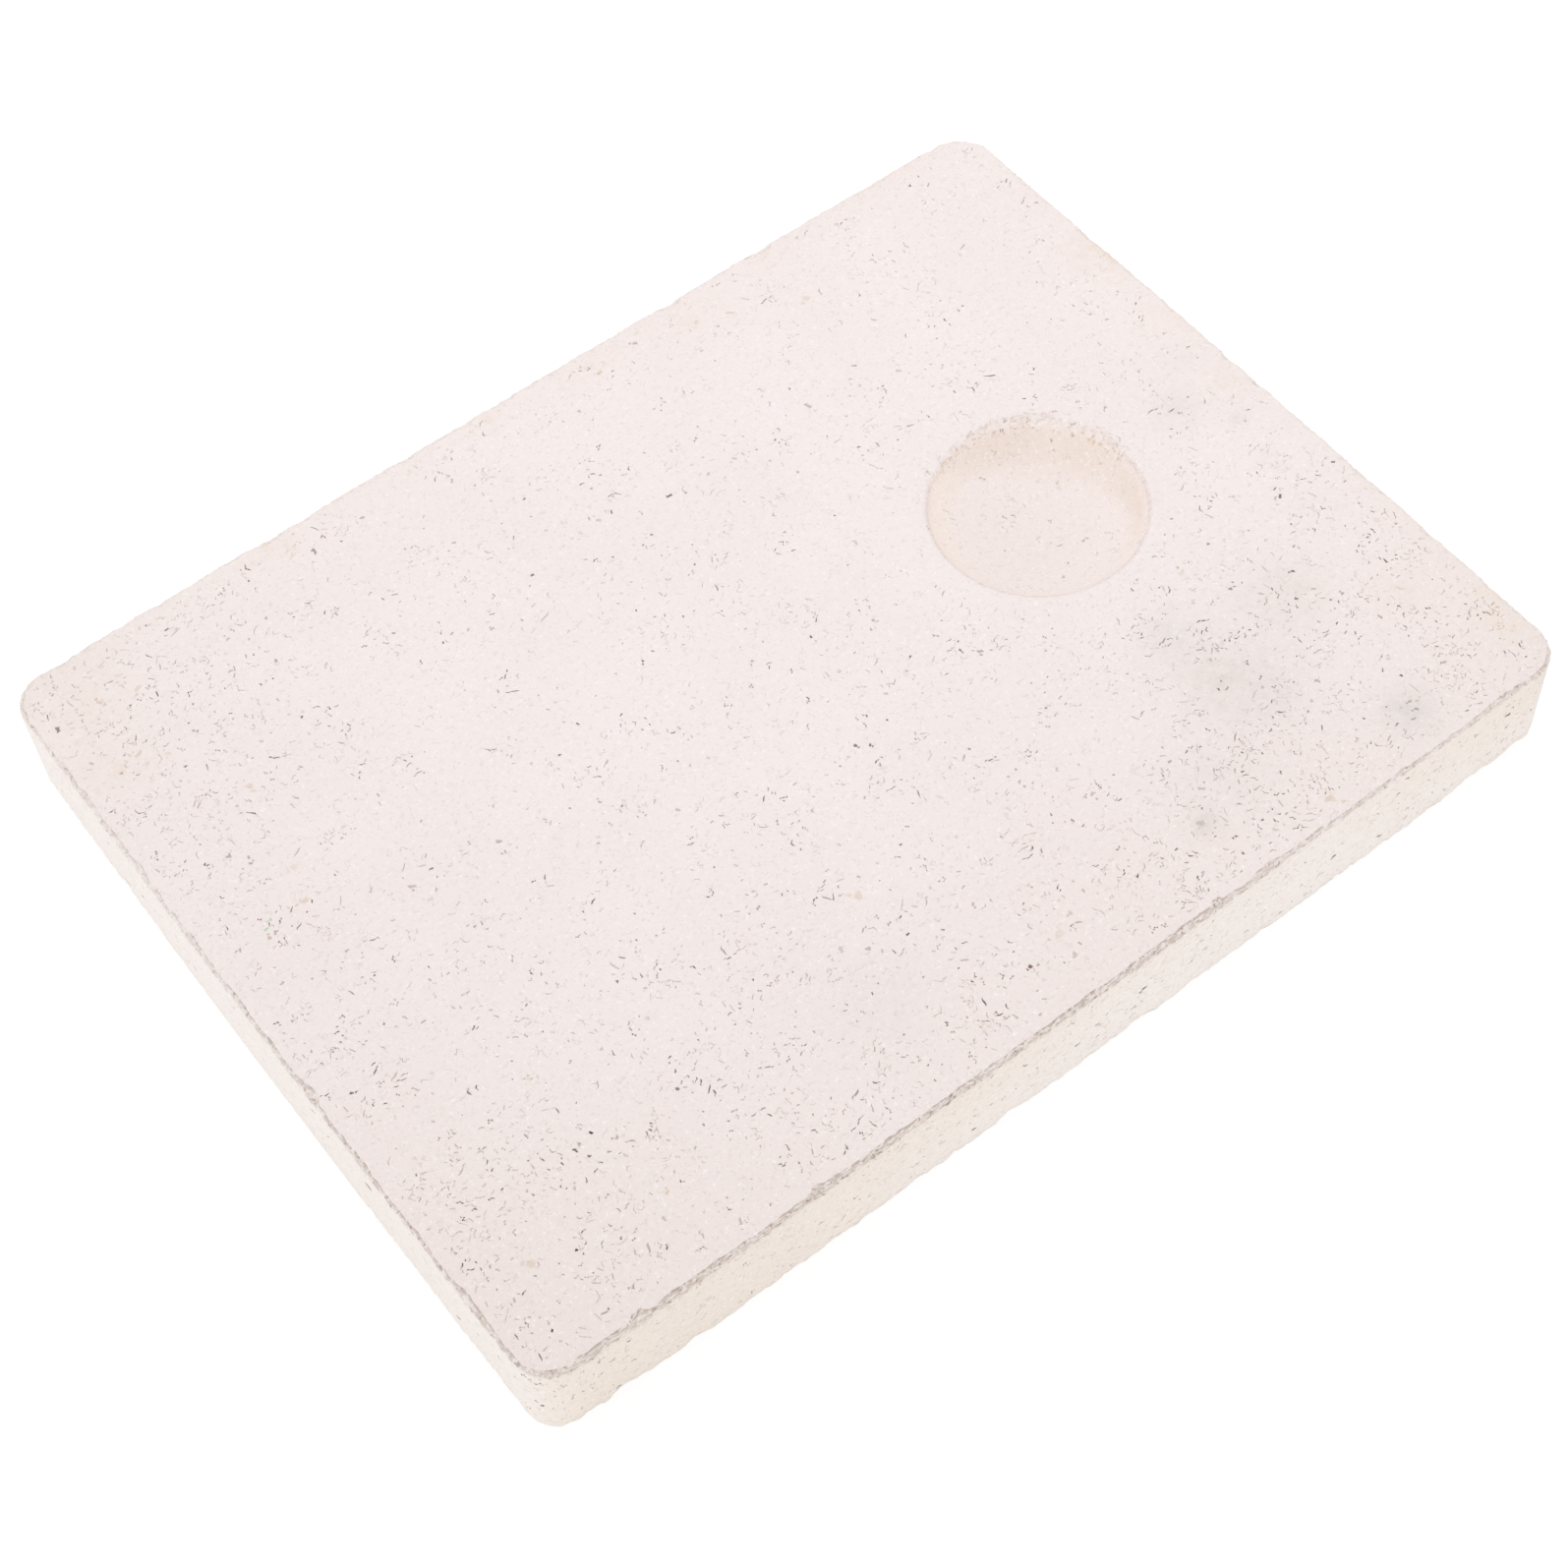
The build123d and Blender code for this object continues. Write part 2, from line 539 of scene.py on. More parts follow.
def pore_weight(points):
    """How thickly the pores lie on the working face: more towards the front and the left end."""
    front = np.clip((4 - points[:, 1]) / 40, 0, 1)
    left = np.clip((-34 - points[:, 0]) / 20, 0, 1)
    back_left = left * np.clip((points[:, 1] - 10) / 30, 0, 1)
    clump = 0.7 + 0.45 * lumps(points, 6.0, 20.5) + 0.8 * lumps(points, 2.4, 21.5)
    to_right = np.clip((points[:, 0] - 5) / 45, 0, 1)
    back = np.clip((points[:, 1] - 22) / 20, 0, 1) * np.clip((15 - points[:, 0]) / 40, 0, 1)
    weight = 0.16 + 0.36 * (1 + 0.9 * to_right) * front**1.5
    weight = weight + 0.16 * left + 0.45 * back_left + 0.10 * back
    weight = weight * np.maximum(clump, 0.12)
    from_dish = np.hypot(points[:, 0] - dish_centre[0], points[:, 1] - dish_centre[1])
    return np.where(from_dish < dish_radius + 0.5, 0.25 * weight, weight)


def open_places(rng):
    """Places on the working face without end, closer together where the pores lie thicker."""
    while True:
        x = rng.uniform(-half_length, half_length)
        y = rng.uniform(-half_width, half_width)
        if rng.random() < pore_weight(np.array([[x, y]]))[0]:
            yield x, y


def is_clear(x, y):
    """Whether a mark may lie here, off the worn edge and off the rim of the dish."""
    from_rim = math.hypot(x - dish_centre[0], y - dish_centre[1]) - dish_radius
    return how_far_out(x, y) < -1.4 and not -1.6 < from_rim < 1.9


def darkness(rng, least, spread):
    """A pore's tone: most are faint and a few are dark."""
    return min(least + rng.expovariate(1 / spread), 0.8)


def scatter_slits(sheet, rng, count):
    """Short slits between the grains of the body, in loose clusters that share a heading."""
    laid = 0
    for x, y in open_places(rng):
        if laid >= count:
            return
        heading = rng.uniform(0, math.pi)
        members = rng.choice((1, 1, 2, 2, 3, 3, 4, 5, 6))
        spread = math.sqrt(members)
        tone = darkness(rng, 0.28, 0.27)
        for _ in range(members):
            along, aside = rng.gauss(0, 0.40) * spread, rng.gauss(0, 0.26) * spread
            at_x = x + along * math.cos(heading) - aside * math.sin(heading)
            at_y = y + along * math.sin(heading) + aside * math.cos(heading)
            length = min(max(0.58 * math.exp(rng.gauss(0, 0.45)), 0.30), 1.8)
            if not is_clear(at_x, at_y) or not sheet.has_room(at_x, at_y, -0.12):
                continue
            width = rng.uniform(0.14, 0.24)
            turn = heading + rng.gauss(0, 0.45) + rng.choice((0, 0, 0, math.pi / 2))
            hollow = 0.35 * width * rng.uniform(0.6, 1.2)
            shade = min(tone * rng.uniform(0.6, 1.4), 0.85)
            bend = rng.choice((0.06, 0.06, 0.28)) * rng.gauss(0, 1.2)
            sheet.spot(at_x, at_y, length, width, turn, bend, shade, hollow, "pore", rng)
            laid += 1


def scatter_pits(sheet, rng, count):
    """Single pits, round to oblong."""
    laid = 0
    for x, y in open_places(rng):
        if laid >= count:
            return
        length = min(max(0.34 * math.exp(rng.gauss(0, 0.4)), 0.22), 0.9)
        if not is_clear(x, y) or not sheet.has_room(x, y, 0.42 * length):
            continue
        width = max(length * rng.uniform(0.4, 0.9), 0.18)
        hollow = min(0.4 * width, 0.14) * rng.uniform(0.6, 1.2)
        turn, bend = rng.uniform(0, math.pi), rng.uniform(-0.1, 0.1)
        sheet.spot(x, y, length, width, turn, bend, darkness(rng, 0.28, 0.25), hollow, "pore", rng)
        laid += 1


def scatter_grains(sheet, rng, count):
    """Tan quartz grains that show in the working face, most towards its left end and far edge."""
    laid = 0
    while laid < count:
        x = rng.uniform(-half_length, half_length)
        y = rng.uniform(-half_width, half_width)
        length = rng.uniform(0.8, 1.7)
        plenty = x < -45 or y > 38 or (x > 40 and y < -15)
        if not plenty and rng.random() < 0.65:
            continue
        if not is_clear(x, y) or not sheet.has_room(x, y, length / 2):
            continue
        width = length * rng.uniform(0.5, 0.8)
        turn, bend = rng.uniform(0, math.pi), rng.uniform(-0.1, 0.1)
        sheet.spot(x, y, length, width, turn, bend, rng.uniform(0.15, 0.42), 0.02, "grain", rng)
        laid += 1


def scatter_side_marks(sheet, rng, count):
    """Pores and a few tan grains on the four sides, drawn out along the slab by the press."""
    outline, ways = outline_points(0.5)
    laid = 0
    while laid < count:
        k = rng.randrange(len(outline))
        at_corner = abs(ways[k][1]) > 0.05 and abs(outline[k][0]) > half_length - 10
        on_left = ways[k][0] < -0.95
        if rng.random() < (0.0 if at_corner else 0.7 if on_left else 0.4):
            continue
        down = rng.uniform(1.3, thickness - 1.6)
        x, y = outline[k] + ways[k] * down
        length = min(max(0.5 * math.exp(rng.gauss(0, 0.5)), 0.3), 1.6) * (1.25 if at_corner else 1.0)
        if not sheet.has_room(x, y, 0.42 * length):
            continue
        turn = math.atan2(ways[k][1], ways[k][0]) + math.pi / 2 + rng.gauss(0, 0.4)
        if rng.random() < 0.08:
            kind = "grain"
            tone = rng.uniform(0.2, 0.5)
            width = length * rng.uniform(0.4, 0.7)
        else:
            kind = "pore"
            tone = min(darkness(rng, 0.26, 0.22) * (1.6 if at_corner else 1.1), 0.85)
            width = max(length / rng.uniform(2.0, 3.5), 0.18)
        sheet.spot(x, y, length, width, turn, rng.uniform(-0.06, 0.06), tone, 0.06, kind, rng)
        laid += 1


def scatter_crumbs(sheet, rng, count):
    """Broken grains and the gaps between them on the shelf of the crumbled rim, where there is room. The
    pale crumbs are partly the grains' own white and partly painted highlight.
    """
    for _ in range(count):
        bearing = rng.gauss(math.radians(60), math.radians(36))
        x, y = by_dish(dish_radius + rng.uniform(-0.4, 1.0), bearing)
        length = rng.uniform(0.5, 1.5)
        if not crumble_from < bearing < crumble_to or not sheet.has_room(x, y, 0.15 * length):
            continue
        kind = rng.choice(("pore", "grain", "grain", "pale", "pale"))
        turn = bearing + math.pi / 2 + rng.gauss(0, 0.25)
        tone = 0.55 if kind == "pale" else rng.uniform(0.2, 0.55)
        sheet.spot(x, y, length, rng.uniform(0.15, 0.24), turn, rng.gauss(0, 0.08), tone, 0.06, kind, rng)


# Single marks on the working face and in the dish: place, length, width, turn, kind and tone
single_marks = [
    (53.6, -14.8, 0.75, 0.45, 0.2, "rust", 0.85),
    (54.2, -14.0, 0.70, 0.40, 0.3, "grain", 0.75),
    (-2.1, -41.4, 0.85, 0.55, 2.6, "rust", 0.90),
    (-1.4, -41.9, 0.50, 0.34, 2.6, "rust", 0.60),
    (-45.5, -21.7, 0.80, 0.50, 1.2, "grain", 0.95),
    (-44.0, -29.9, 0.60, 0.36, 2.4, "pore", 0.95),
    (-35.1, -24.2, 0.42, 0.38, 0.0, "pore", 0.95),
    (-39.4, -33.7, 1.30, 0.80, 2.5, "pore", 0.40),
    (-51.7, -38.7, 0.40, 0.36, 0.0, "pore", 0.95),
    (-57.8, -43.6, 0.40, 0.36, 0.0, "pore", 0.95),
    (-58.0, -29.9, 0.36, 0.30, 0.0, "pore", 0.90),
    (-47.9, -40.1, 0.36, 0.30, 0.0, "pore", 0.90),
    (-42.0, -38.9, 1.00, 0.42, 0.9, "grain", 0.65),
    (28.5, -31.9, 0.40, 0.36, 0.0, "pore", 0.92),
    (30.6, -39.8, 0.40, 0.36, 0.0, "pore", 0.92),
    (47.4, -32.9, 0.40, 0.34, 0.0, "pore", 0.90),
    (55.3, -34.5, 0.50, 0.38, 0.4, "pore", 0.85),
    (59.4, -40.4, 0.80, 0.46, 0.9, "grain", 0.85),
    (-22.9, -41.8, 1.40, 0.28, 0.5, "pore", 0.70),
    (27.6, 10.6, 0.80, 0.36, 1.0, "pore", 0.45),
    (37.4, 10.4, 0.55, 0.34, 0.4, "pore", 0.70),
    (38.1, 11.2, 0.70, 0.34, 0.9, "pore", 0.55),
    (42.9, 8.8, 0.48, 0.40, 0.6, "pore", 0.65),
    (41.3, 7.0, 0.45, 0.36, 2.2, "pore", 0.50),
    (43.0, 5.6, 0.55, 0.36, 2.0, "pore", 0.50),
    (44.0, 3.7, 1.20, 0.48, 1.8, "grain", 0.60),
    (44.7, 1.3, 0.55, 0.40, 1.2, "pore", 0.45),
    (44.6, 0.1, 0.80, 0.40, 1.5, "pore", 0.45),
    (22.9, 5.0, 0.75, 0.24, 1.1, "pore", 0.50),
    (39.0, -9.6, 0.60, 0.22, 0.5, "pore", 0.45),
    (29.8, -10.3, 0.50, 0.24, 2.8, "pore", 0.35),
    (35.5, 9.6, 0.90, 0.42, 1.3, "pore", 0.35),
    (33.8, 4.6, 0.50, 0.36, 0.6, "pore", 0.40),
    (29.0, -0.2, 0.42, 0.32, 0.2, "pore", 0.45),
    (38.4, -5.6, 0.45, 0.32, 0.4, "pore", 0.45),
    (40.7, 6.0, 0.42, 0.32, 1.0, "pore", 0.45),
    (37.0, -8.3, 0.40, 0.28, 0.7, "pore", 0.30),
    (43.0, 1.6, 0.70, 0.60, 0.5, "grain", 0.40),
    (53.1, 0.2, 0.70, 0.42, 1.9, "pore", 0.55),
    (53.1, 5.0, 0.50, 0.26, 0.6, "pore", 0.42),
    (52.9, 4.1, 0.45, 0.26, 0.4, "pore", 0.42),
    (53.6, 2.3, 0.55, 0.26, 0.9, "pore", 0.40),
    (52.2, -1.8, 0.65, 0.28, 0.1, "pore", 0.45),
    (57.6, -5.0, 0.45, 0.32, 0.5, "pore", 0.50),
    (57.7, -11.1, 0.55, 0.36, 1.8, "pore", 0.48),
    (50.9, -32.3, 0.80, 0.34, 1.2, "pore", 0.60),
    (33.2, -29.1, 0.75, 0.30, 0.1, "pore", 0.60),
    (33.3, -28.2, 0.45, 0.26, 1.1, "pore", 0.55),
    (23.2, -32.2, 0.60, 0.44, 2.6, "pore", 0.62),
    (27.7, -39.8, 1.20, 0.24, 2.9, "pore", 0.45),
    (37.5, -19.2, 0.75, 0.45, 1.4, "pore", 0.30),
    (43.7, -22.7, 0.80, 0.28, 2.4, "pore", 0.45),
    (39.0, -37.7, 0.80, 0.60, 2.4, "pore", 0.28),
    (30.1, -35.2, 0.85, 0.60, 2.4, "pore", 0.26),
    (20.7, -39.5, 1.10, 0.80, 2.5, "pore", 0.36),
    (25.8, -44.5, 0.80, 0.50, 2.4, "pore", 0.30),
    (48.2, -36.4, 0.60, 0.34, 2.0, "pore", 0.45),
    (54.2, -33.7, 0.70, 0.55, 0.6, "pore", 0.26),
    (43.2, -44.8, 0.65, 0.34, 2.0, "pore", 0.42),
    (53.4, -40.2, 0.70, 0.50, 1.0, "pore", 0.28),
    (45.9, -41.6, 0.80, 0.32, 2.4, "pore", 0.60),
    (45.7, -42.7, 1.00, 0.34, 2.3, "pore", 0.62),
    (44.9, -43.3, 0.70, 0.30, 2.5, "pore", 0.55),
    (46.6, -42.0, 0.60, 0.26, 2.6, "pore", 0.45),
    (-54.5, 16.4, 0.80, 0.50, 0.4, "rust", 0.50),
    (-52.9, 14.9, 0.60, 0.34, 1.9, "pore", 0.60),
    (-53.1, 14.1, 0.80, 0.32, 2.9, "pore", 0.58),
    (-57.1, 15.5, 1.00, 0.30, 0.6, "pore", 0.42),
    (-56.4, 16.2, 0.70, 0.26, 0.8, "pore", 0.42),
    (-42.2, 35.0, 0.90, 0.24, 1.4, "pore", 0.50),
    (-42.8, 34.3, 0.70, 0.24, 0.5, "pore", 0.50),
    (-45.1, 38.6, 0.90, 0.40, 1.0, "pore", 0.50),
    (-44.4, 37.9, 0.60, 0.30, 2.0, "pore", 0.50),
    (-43.3, 28.1, 0.90, 0.28, 0.9, "pore", 0.45),
    (-44.0, 28.8, 0.60, 0.26, 0.4, "pore", 0.45),
    (-53.7, 23.1, 1.00, 0.30, 1.0, "pore", 0.45),
    (-53.0, 23.9, 0.60, 0.30, 0.6, "pore", 0.50),
    (-54.5, 28.4, 0.80, 0.40, 1.4, "pore", 0.42),
    (-56.4, 32.9, 0.60, 0.42, 0.2, "pore", 0.62),
    (-51.5, 29.8, 0.70, 0.30, 2.2, "pore", 0.50),
    (-58.5, 43.9, 0.60, 0.45, 0.5, "pore", 0.45),
    (14.1, 44.6, 1.00, 0.55, 0.2, "rust", 0.42),
    (34.2, 37.8, 1.20, 0.26, 1.0, "pore", 0.42),
    (51.7, 44.3, 0.50, 0.42, 0.0, "pore", 0.80),
    (31.0, 22.2, 1.00, 0.30, 1.2, "pore", 0.45),
    (30.2, 21.6, 0.60, 0.26, 1.0, "pore", 0.42),
    (-6.3, -37.0, 1.10, 0.28, 2.4, "pore", 0.48),
    (1.9, -42.9, 0.90, 0.60, 0.6, "pore", 0.38),
    (4.4, -39.2, 0.90, 0.50, 0.8, "pore", 0.32),
    (-9.0, -40.7, 1.00, 0.50, 1.6, "pore", 0.34),
    (-6.5, -44.6, 0.90, 0.30, 1.9, "pore", 0.42),
    (-11.7, -31.5, 0.60, 0.30, 0.9, "pore", 0.45),
    (-46.6, -42.4, 1.40, 0.26, 0.9, "pore", 0.55),
    (-45.6, -42.8, 0.90, 0.26, 1.1, "pore", 0.50),
    (-38.7, -45.3, 0.90, 0.50, 0.6, "pore", 0.42),
    (-58.9, -39.2, 1.10, 0.40, 0.9, "pore", 0.42),
    (-50.9, -37.4, 1.00, 0.60, 0.4, "pore", 0.28),
    (-55.1, 39.9, 1.50, 0.60, 1.2, "grain", 0.50),
    (-51.4, 38.8, 1.80, 0.60, 0.5, "grain", 0.42),
    (-55.1, 45.4, 0.70, 0.50, 0.8, "grain", 0.60),
    (-55.2, 32.0, 1.40, 0.50, 0.6, "grain", 0.45),
    (-58.0, 38.2, 0.60, 0.45, 0.3, "grain", 0.60),
    (41.9, 41.9, 1.10, 0.40, 0.1, "grain", 0.50),
    (24.8, 41.5, 1.40, 0.40, 2.6, "grain", 0.50),
    (21.1, 42.8, 0.90, 0.40, 0.6, "grain", 0.50),
    (20.0, 42.2, 0.60, 0.36, 1.0, "grain", 0.45),
    (8.9, 43.6, 0.80, 0.60, 0.9, "grain", 0.65),
    (-55.9, 7.0, 0.80, 0.34, 0.2, "green", 0.55),
    (-55.2, 7.6, 0.75, 0.32, 0.7, "green", 0.75),
]


def lies_within(points, ring):
    """Whether flat points lie inside a closed ring of points."""
    within = np.zeros(len(points), dtype=bool)
    for (x0, y0), (x1, y1) in zip(ring, np.roll(ring, -1, axis=0)):
        if y0 != y1:
            level = (y0 > points[:, 1]) != (y1 > points[:, 1])
            within ^= level & (points[:, 0] < x0 + (points[:, 1] - y0) * (x1 - x0) / (y1 - y0))
    return within


def even_points(rng, spacing):
    """Places over the block's whole box, about this far apart."""
    for i in range(int(2 * half_length / spacing)):
        for j in range(int(2 * half_width / spacing)):
            x = -half_length + (i + 0.5 + rng.uniform(-0.3, 0.3)) * spacing
            y = -half_width + (j + 0.5 + rng.uniform(-0.3, 0.3)) * spacing
            yield x, y


def lay_edges(sheet):
    """Rows of points along both worn edges. Gives the last row, which bounds the resting face."""
    outline, ways = outline_points(edge_step)
    top_width, side_width = top_break(outline)
    base_width = base_break(outline)
    for across in top_rows:
        out = -top_width + across * (top_width + side_width)
        sheet.loop(outline + ways * out[:, None], keep=across in (0, 1))
    for under in base_rows:
        out = thickness + base_width * (under - 1)
        sheet.loop(outline + ways * out[:, None], keep=under == 0)
    return sheet.loop(outline + ways * thickness)


def lay_rim(sheet, rng):
    """Rings of points about the rim of the dish, and closer points where the rim has crumbled."""
    for ring in rim_rings:
        count = round(2 * math.pi * ring / edge_step)
        for i in range(count):
            bearing = 2 * math.pi * (i + rng.uniform(-0.3, 0.3)) / count
            sheet.add_loose(by_dish(ring + rng.uniform(-0.06, 0.06), bearing), 0)
    for _ in range(crumbled_points):
        bearing = rng.uniform(crumble_from, crumble_to)
        sheet.add_loose(by_dish(rng.uniform(10.8, 13.0), bearing), 0)


def lay_loose_points(sheet, rng):
    """Loose points that even out the working face and the sides between the marks."""
    for x, y in even_points(rng, face_spacing):
        from_axis = math.hypot(x - dish_centre[0], y - dish_centre[1])
        if how_far_out(x, y) < -2.0 and not 8.6 < from_axis < 13.5:
            sheet.add_loose((x, y), 0.25)
    outline, ways = outline_points(side_spacing)
    for point, way in zip(outline, ways):
        for i in range(int((thickness - 3.2) / side_spacing)):
            x, y = point + way * (1.9 + (i + rng.uniform(0, 0.7)) * side_spacing)
            x = x + rng.uniform(-0.2, 0.2)
            y = y + rng.uniform(-0.2, 0.2)
            sheet.add_loose((x, y), 0.2)


def close_base(places, foot, rng):
    """The resting face: new places inside the last row of points, and the triangles that join them."""
    inner = [(x, y) for x, y in even_points(rng, base_spacing) if how_far_out(x, y) < -2.5]
    ring = places[foot, :2]
    lines = [(i, (i + 1) % len(ring)) for i in range(len(ring))]
    flat, _, faces, sources, _, _ = geometry.delaunay_2d_cdt(
        [Vector(p) for p in ring] + [Vector(p) for p in inner], lines, [], 1, 1e-6, True
    )
    index = []
    for ids in sources:
        source = ids[0]
        index.append(foot[source] if source < len(foot) else len(places) + source - len(foot))
    middles = np.array([np.mean([flat[i] for i in f], axis=0) for f in faces])
    inside = lies_within(middles, ring)
    closing = [tuple(index[i] for i in reversed(f)) for f, keep in zip(faces, inside) if keep]
    base = [(x, y, base_lift + base_lift * noise.noise((x / 9, y / 9, 22.5))) for x, y in inner]
    return np.array(base), closing


def build_block():
    """The fired slab as one closed mesh, with its worn edges, crumbled dish rim and pores."""
    rng = random.Random(mark_seed)
    sheet = FlatSheet()
    foot_loop = lay_edges(sheet)
    for x, y, length, width, turn, kind, tone in single_marks:
        hollow = 0.1 if kind == "pore" else 0.02
        sheet.spot(x, y, length, width, turn, 0.05, tone, hollow, kind, rng)
    scatter_crumbs(sheet, rng, crumb_tries)
    lay_rim(sheet, rng)
    scatter_grains(sheet, rng, grain_count)
    scatter_slits(sheet, rng, slit_count)
    scatter_pits(sheet, rng, pit_count)
    scatter_side_marks(sheet, rng, side_mark_count)
    lay_loose_points(sheet, rng)

    # Triangles over the flat sheet, then the fold over the block
    flat, _, faces, sources, _, _ = geometry.delaunay_2d_cdt(
        [Vector(p) for p in sheet.points], sheet.lines, [], 1, 1e-6, True
    )
    first = [ids[0] if ids else -1 for ids in sources]
    points = np.array([tuple(v) for v in flat])
    places, marks = lay_skin(points)

    # The marks, which sink below the surface along their middles
    def carried(name):
        values = sheet.marks[name]
        return np.array([values[i] if i >= 0 else 0.0 for i in first])

    for name in (*mark_kinds, "tone"):
        marks[name] = carried(name)
    out, way = outline_of(points)
    sideways = np.concatenate([way, np.zeros((len(way), 1))], axis=1)
    sink = np.where((out > 0)[:, None], sideways, np.array([0.0, 0.0, 1.0]))
    places -= sink * carried("hollow")[:, None]

    # The resting face closes the mesh on the last row of points
    where = {source: i for i, ids in enumerate(sources) for source in ids}
    base, base_faces = close_base(places, [where[i] for i in foot_loop], rng)
    places = np.concatenate([places, base])
    on_base = {"side": 1.0, "cream": 0.5, "base_edge_dark": 0.15, "density": 0.2}
    for name in marks:
        marks[name] = np.concatenate([marks[name], np.full(len(base), on_base.get(name, 0.0))])
    faces = [tuple(f) for f in faces] + base_faces

    mesh = bpy.data.meshes.new("fired_slab")
    mesh.from_pydata((places * MM).tolist(), [], faces)
    for name, values in marks.items():
        attribute = mesh.attributes.new(name, "FLOAT", "POINT")
        attribute.data.foreach_set("value", values.astype(np.float32))
    mesh.validate()
    mesh.shade_smooth()
    mesh.set_sharp_from_angle(angle=math.radians(24))
    block = bpy.data.objects.new("fired_slab", mesh)
    bpy.context.scene.collection.objects.link(block)
    return block


class Wire:
    """One output in a shader. Sums, differences and products of wires add Math nodes."""

    def __init__(self, tree, socket=None):
        self.tree = tree
        self.socket = socket

    def node(self, kind, settings=None, sockets=None, out=0):
        """Adds a node, sets it up, then feeds its sockets, and gives the asked output."""
        made = self.tree.nodes.new(kind)
        for name, value in (settings or {}).items():
            setattr(made, name, value)
        for name, value in (sockets or {}).items():
            if isinstance(value, Wire):
                self.tree.links.new(value.socket, made.inputs[name])
            else:
                made.inputs[name].default_value = value
        return Wire(self.tree, made.outputs[out])

    def maths(self, operation, first, second):
        return self.node("ShaderNodeMath", {"operation": operation}, {0: first, 1: second})

    def __add__(self, other):
        return self.maths("ADD", self, other)

    __radd__ = __add__

    def __sub__(self, other):
        return self.maths("SUBTRACT", self, other)

    def __rsub__(self, other):
        return self.maths("SUBTRACT", other, self)

    def __mul__(self, other):
        return self.maths("MULTIPLY", self, other)

    __rmul__ = __mul__

    def mark(self, name):
        return self.node("ShaderNodeAttribute", {"attribute_name": name}, out="Fac")

    def between(self, start, end, low=0.0, high=1.0):
        """This value spread from start..end to low..high, and held there."""
        return self.node(
            "ShaderNodeMapRange",
            {"interpolation_type": "SMOOTHSTEP"},
            {"Value": self, "From Min": start, "From Max": end, "To Min": low, "To Max": high},
        )

    def tint(self, colour, other):
        """A colour, turned towards another by this value."""
        settings = {"data_type": "RGBA", "clamp_factor": True}
        return self.node("ShaderNodeMix", settings, {0: self, 6: colour, 7: other}, out=2)

    def mottle(self, place, per_mm, detail, rough):
        """Cloudy noise with this many lumps to a millimetre."""
        sockets = {"Vector": place, "Scale": per_mm / MM, "Detail": detail, "Roughness": rough}
        return self.node("ShaderNodeTexNoise", {}, sockets, out="Fac")

    def stretched(self, amounts):
        """A place, scaled along each axis."""
        return self.node("ShaderNodeVectorMath", {"operation": "MULTIPLY"}, {0: self, 1: amounts})

    def seen(self):
        """1 where the camera looks straight at a surface, in a mirror or through glass."""
        direct = self.node("ShaderNodeLightPath", out="Is Camera Ray")
        mirrored = self.node("ShaderNodeLightPath", out="Is Glossy Ray")
        through = self.node("ShaderNodeLightPath", out="Is Transmission Ray")
        return self.maths("MAXIMUM", self.maths("MAXIMUM", direct, mirrored), through)


def rgb(red, green, blue):
    return (red, green, blue, 1.0)


# Colours of the fired body, its dirt and its marks
face_white = rgb(0.908, 0.828, 0.813)
face_blush = rgb(0.895, 0.811, 0.793)
# The darker face colour: partly handling, partly painted light falloff towards the front and the left end.
handled_and_shaded = rgb(0.858, 0.768, 0.732)
# The sides' white is lighter than the face's: painted light on the sides, most along the left.
side_white_lit = rgb(0.920, 0.857, 0.824)
side_cream = rgb(0.866, 0.786, 0.712)
# The dish's white and pale are lifted with painted light; its yellow is partly the wall's own tint and
# partly painted shade and bounce light
bowl_white_lit = rgb(0.915, 0.822, 0.796)
bowl_yellow_shaded = rgb(0.838, 0.730, 0.662)
bowl_pale_lit = rgb(0.925, 0.827, 0.766)
grain_grey = rgb(0.62, 0.55, 0.53)
quartz_white = rgb(0.97, 0.93, 0.925)
sand = rgb(0.72, 0.65, 0.61)
stain_tan = rgb(0.86, 0.745, 0.655)
scorch_grey = rgb(0.58, 0.56, 0.545)
seam_brown = rgb(0.47, 0.40, 0.38)
streak_brown = rgb(0.58, 0.51, 0.45)
edge_brown = rgb(0.47, 0.38, 0.315)
edge_dark = rgb(0.32, 0.25, 0.19)
edge_white = rgb(0.92, 0.87, 0.84)
brink_shade_dark = rgb(0.34, 0.27, 0.22)
base_edge_brown = rgb(0.48, 0.41, 0.35)
rim_tan = rgb(0.70, 0.58, 0.47)
rim_shadow_dark = rgb(0.46, 0.36, 0.27)
rim_shade_and_dirt = rgb(0.58, 0.46, 0.41)
grain_amber = rgb(0.60, 0.43, 0.26)
grain_buff = rgb(0.66, 0.54, 0.40)
crumb_white_highlight = rgb(0.97, 0.93, 0.90)
rust_brown = rgb(0.19, 0.085, 0.06)
fleck_green = rgb(0.25, 0.60, 0.28)
pore_grey = rgb(0.41, 0.335, 0.30)
pore_tan = rgb(0.44, 0.345, 0.28)
pore_stained = rgb(0.42, 0.29, 0.19)
pore_black = rgb(0.06, 0.038, 0.028)


